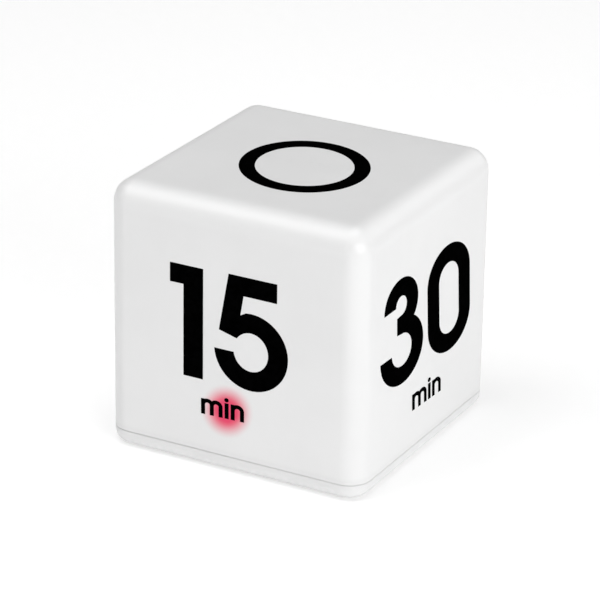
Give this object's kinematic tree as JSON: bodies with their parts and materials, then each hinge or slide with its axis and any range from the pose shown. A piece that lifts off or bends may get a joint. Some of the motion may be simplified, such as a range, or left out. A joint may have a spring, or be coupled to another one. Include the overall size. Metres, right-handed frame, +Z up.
{
  "type": "cube timer",
  "caption": "Small cube kitchen timer with rounded edges: turning a marked side up sets the time, and a lamp shines behind that side's mark.",
  "frame": {"origin": "centre of the base's flat underside, on the surface that the cube stands on", "axes": "+Z up through the top side, -Y out of the side marked 15, +X out of the side marked 30"},
  "size_m": [0.0636, 0.0636, 0.0625],
  "materials": {
    "white_shell": "satin moulded",
    "white_base": "satin moulded",
    "white_door": "satin moulded",
    "board_green": "solder mask",
    "cell_wrap": "printed sleeve",
    "nickel_steel": "nickel plated",
    "zinc_steel": "zinc plated",
    "black_plastic": "fine texture",
    "lit_lamp": "lit red lens",
    "white_lamp": "clear lens, unlit",
    "black_epoxy": "cured drop",
    "capacitor_sleeve": "shrunk sleeve"
  },
  "bodies": {
    "case": {"cube_shell": "white_shell", "base_cover": "white_base", "cell_left": "cell_wrap", "cell_right": "cell_wrap", "link_contact": "nickel_steel", "positive_contact": "nickel_steel", "negative_contact": "nickel_steel", "link_spring": "nickel_steel", "negative_spring": "nickel_steel", "circuit_board": "board_green", "controller_drop": "black_epoxy", "crystal": "zinc_steel", "supply_capacitor": "capacitor_sleeve", "driver_transistor": "black_plastic", "sounder": "black_plastic", "switch_housing": "zinc_steel", "case_screw_1": "zinc_steel", "board_screw_1": "zinc_steel", "case_screw_2": "zinc_steel", "board_screw_2": "zinc_steel", "case_screw_3": "zinc_steel", "board_screw_3": "zinc_steel", "case_screw_4": "zinc_steel", "board_screw_4": "zinc_steel", "lamp_15min": "lit_lamp", "lamp_resistor_15min": "black_plastic", "tilt_can_15min": "zinc_steel", "tilt_header_15min": "black_plastic", "lamp_30min": "white_lamp", "lamp_resistor_30min": "black_plastic", "tilt_can_30min": "zinc_steel", "tilt_header_30min": "black_plastic", "lamp_60min": "white_lamp", "lamp_resistor_60min": "black_plastic", "tilt_can_60min": "zinc_steel", "tilt_header_60min": "black_plastic", "lamp_5min": "white_lamp", "lamp_resistor_5min": "black_plastic", "tilt_can_5min": "zinc_steel", "tilt_header_5min": "black_plastic"},
    "battery_door": {"battery_door": "white_door"},
    "volume_slider": {"switch_cap": "black_plastic", "switch_handle": "black_plastic"},
    "ball_15min": {"tilt_ball_15min": "nickel_steel"},
    "ball_30min": {"tilt_ball_30min": "nickel_steel"},
    "ball_60min": {"tilt_ball_60min": "nickel_steel"},
    "ball_5min": {"tilt_ball_5min": "nickel_steel"}
  },
  "joints": [
    {"name": "battery_door_hinge", "type": "hinge", "parent": "case", "child": "battery_door", "pos_m": [0, -0.0264, 0.0006], "axis": [-1, 0, 0], "range_deg": [0, 40]},
    {"name": "volume_switch_slide", "type": "slide", "parent": "case", "child": "volume_slider", "axis": [0, 1, 0], "range_m": [0, 0.002]},
    {"name": "tilt_ball_15min_roll", "type": "slide", "parent": "case", "child": "ball_15min", "axis": [0, -1, 0], "range_m": [0, 0.0023]},
    {"name": "tilt_ball_30min_roll", "type": "slide", "parent": "case", "child": "ball_30min", "axis": [1, 0, 0], "range_m": [0, 0.0023]},
    {"name": "tilt_ball_60min_roll", "type": "slide", "parent": "case", "child": "ball_60min", "axis": [0, 1, 0], "range_m": [0, 0.0023]},
    {"name": "tilt_ball_5min_roll", "type": "slide", "parent": "case", "child": "ball_5min", "axis": [-1, 0, 0], "range_m": [0, 0.0023]}
  ]
}
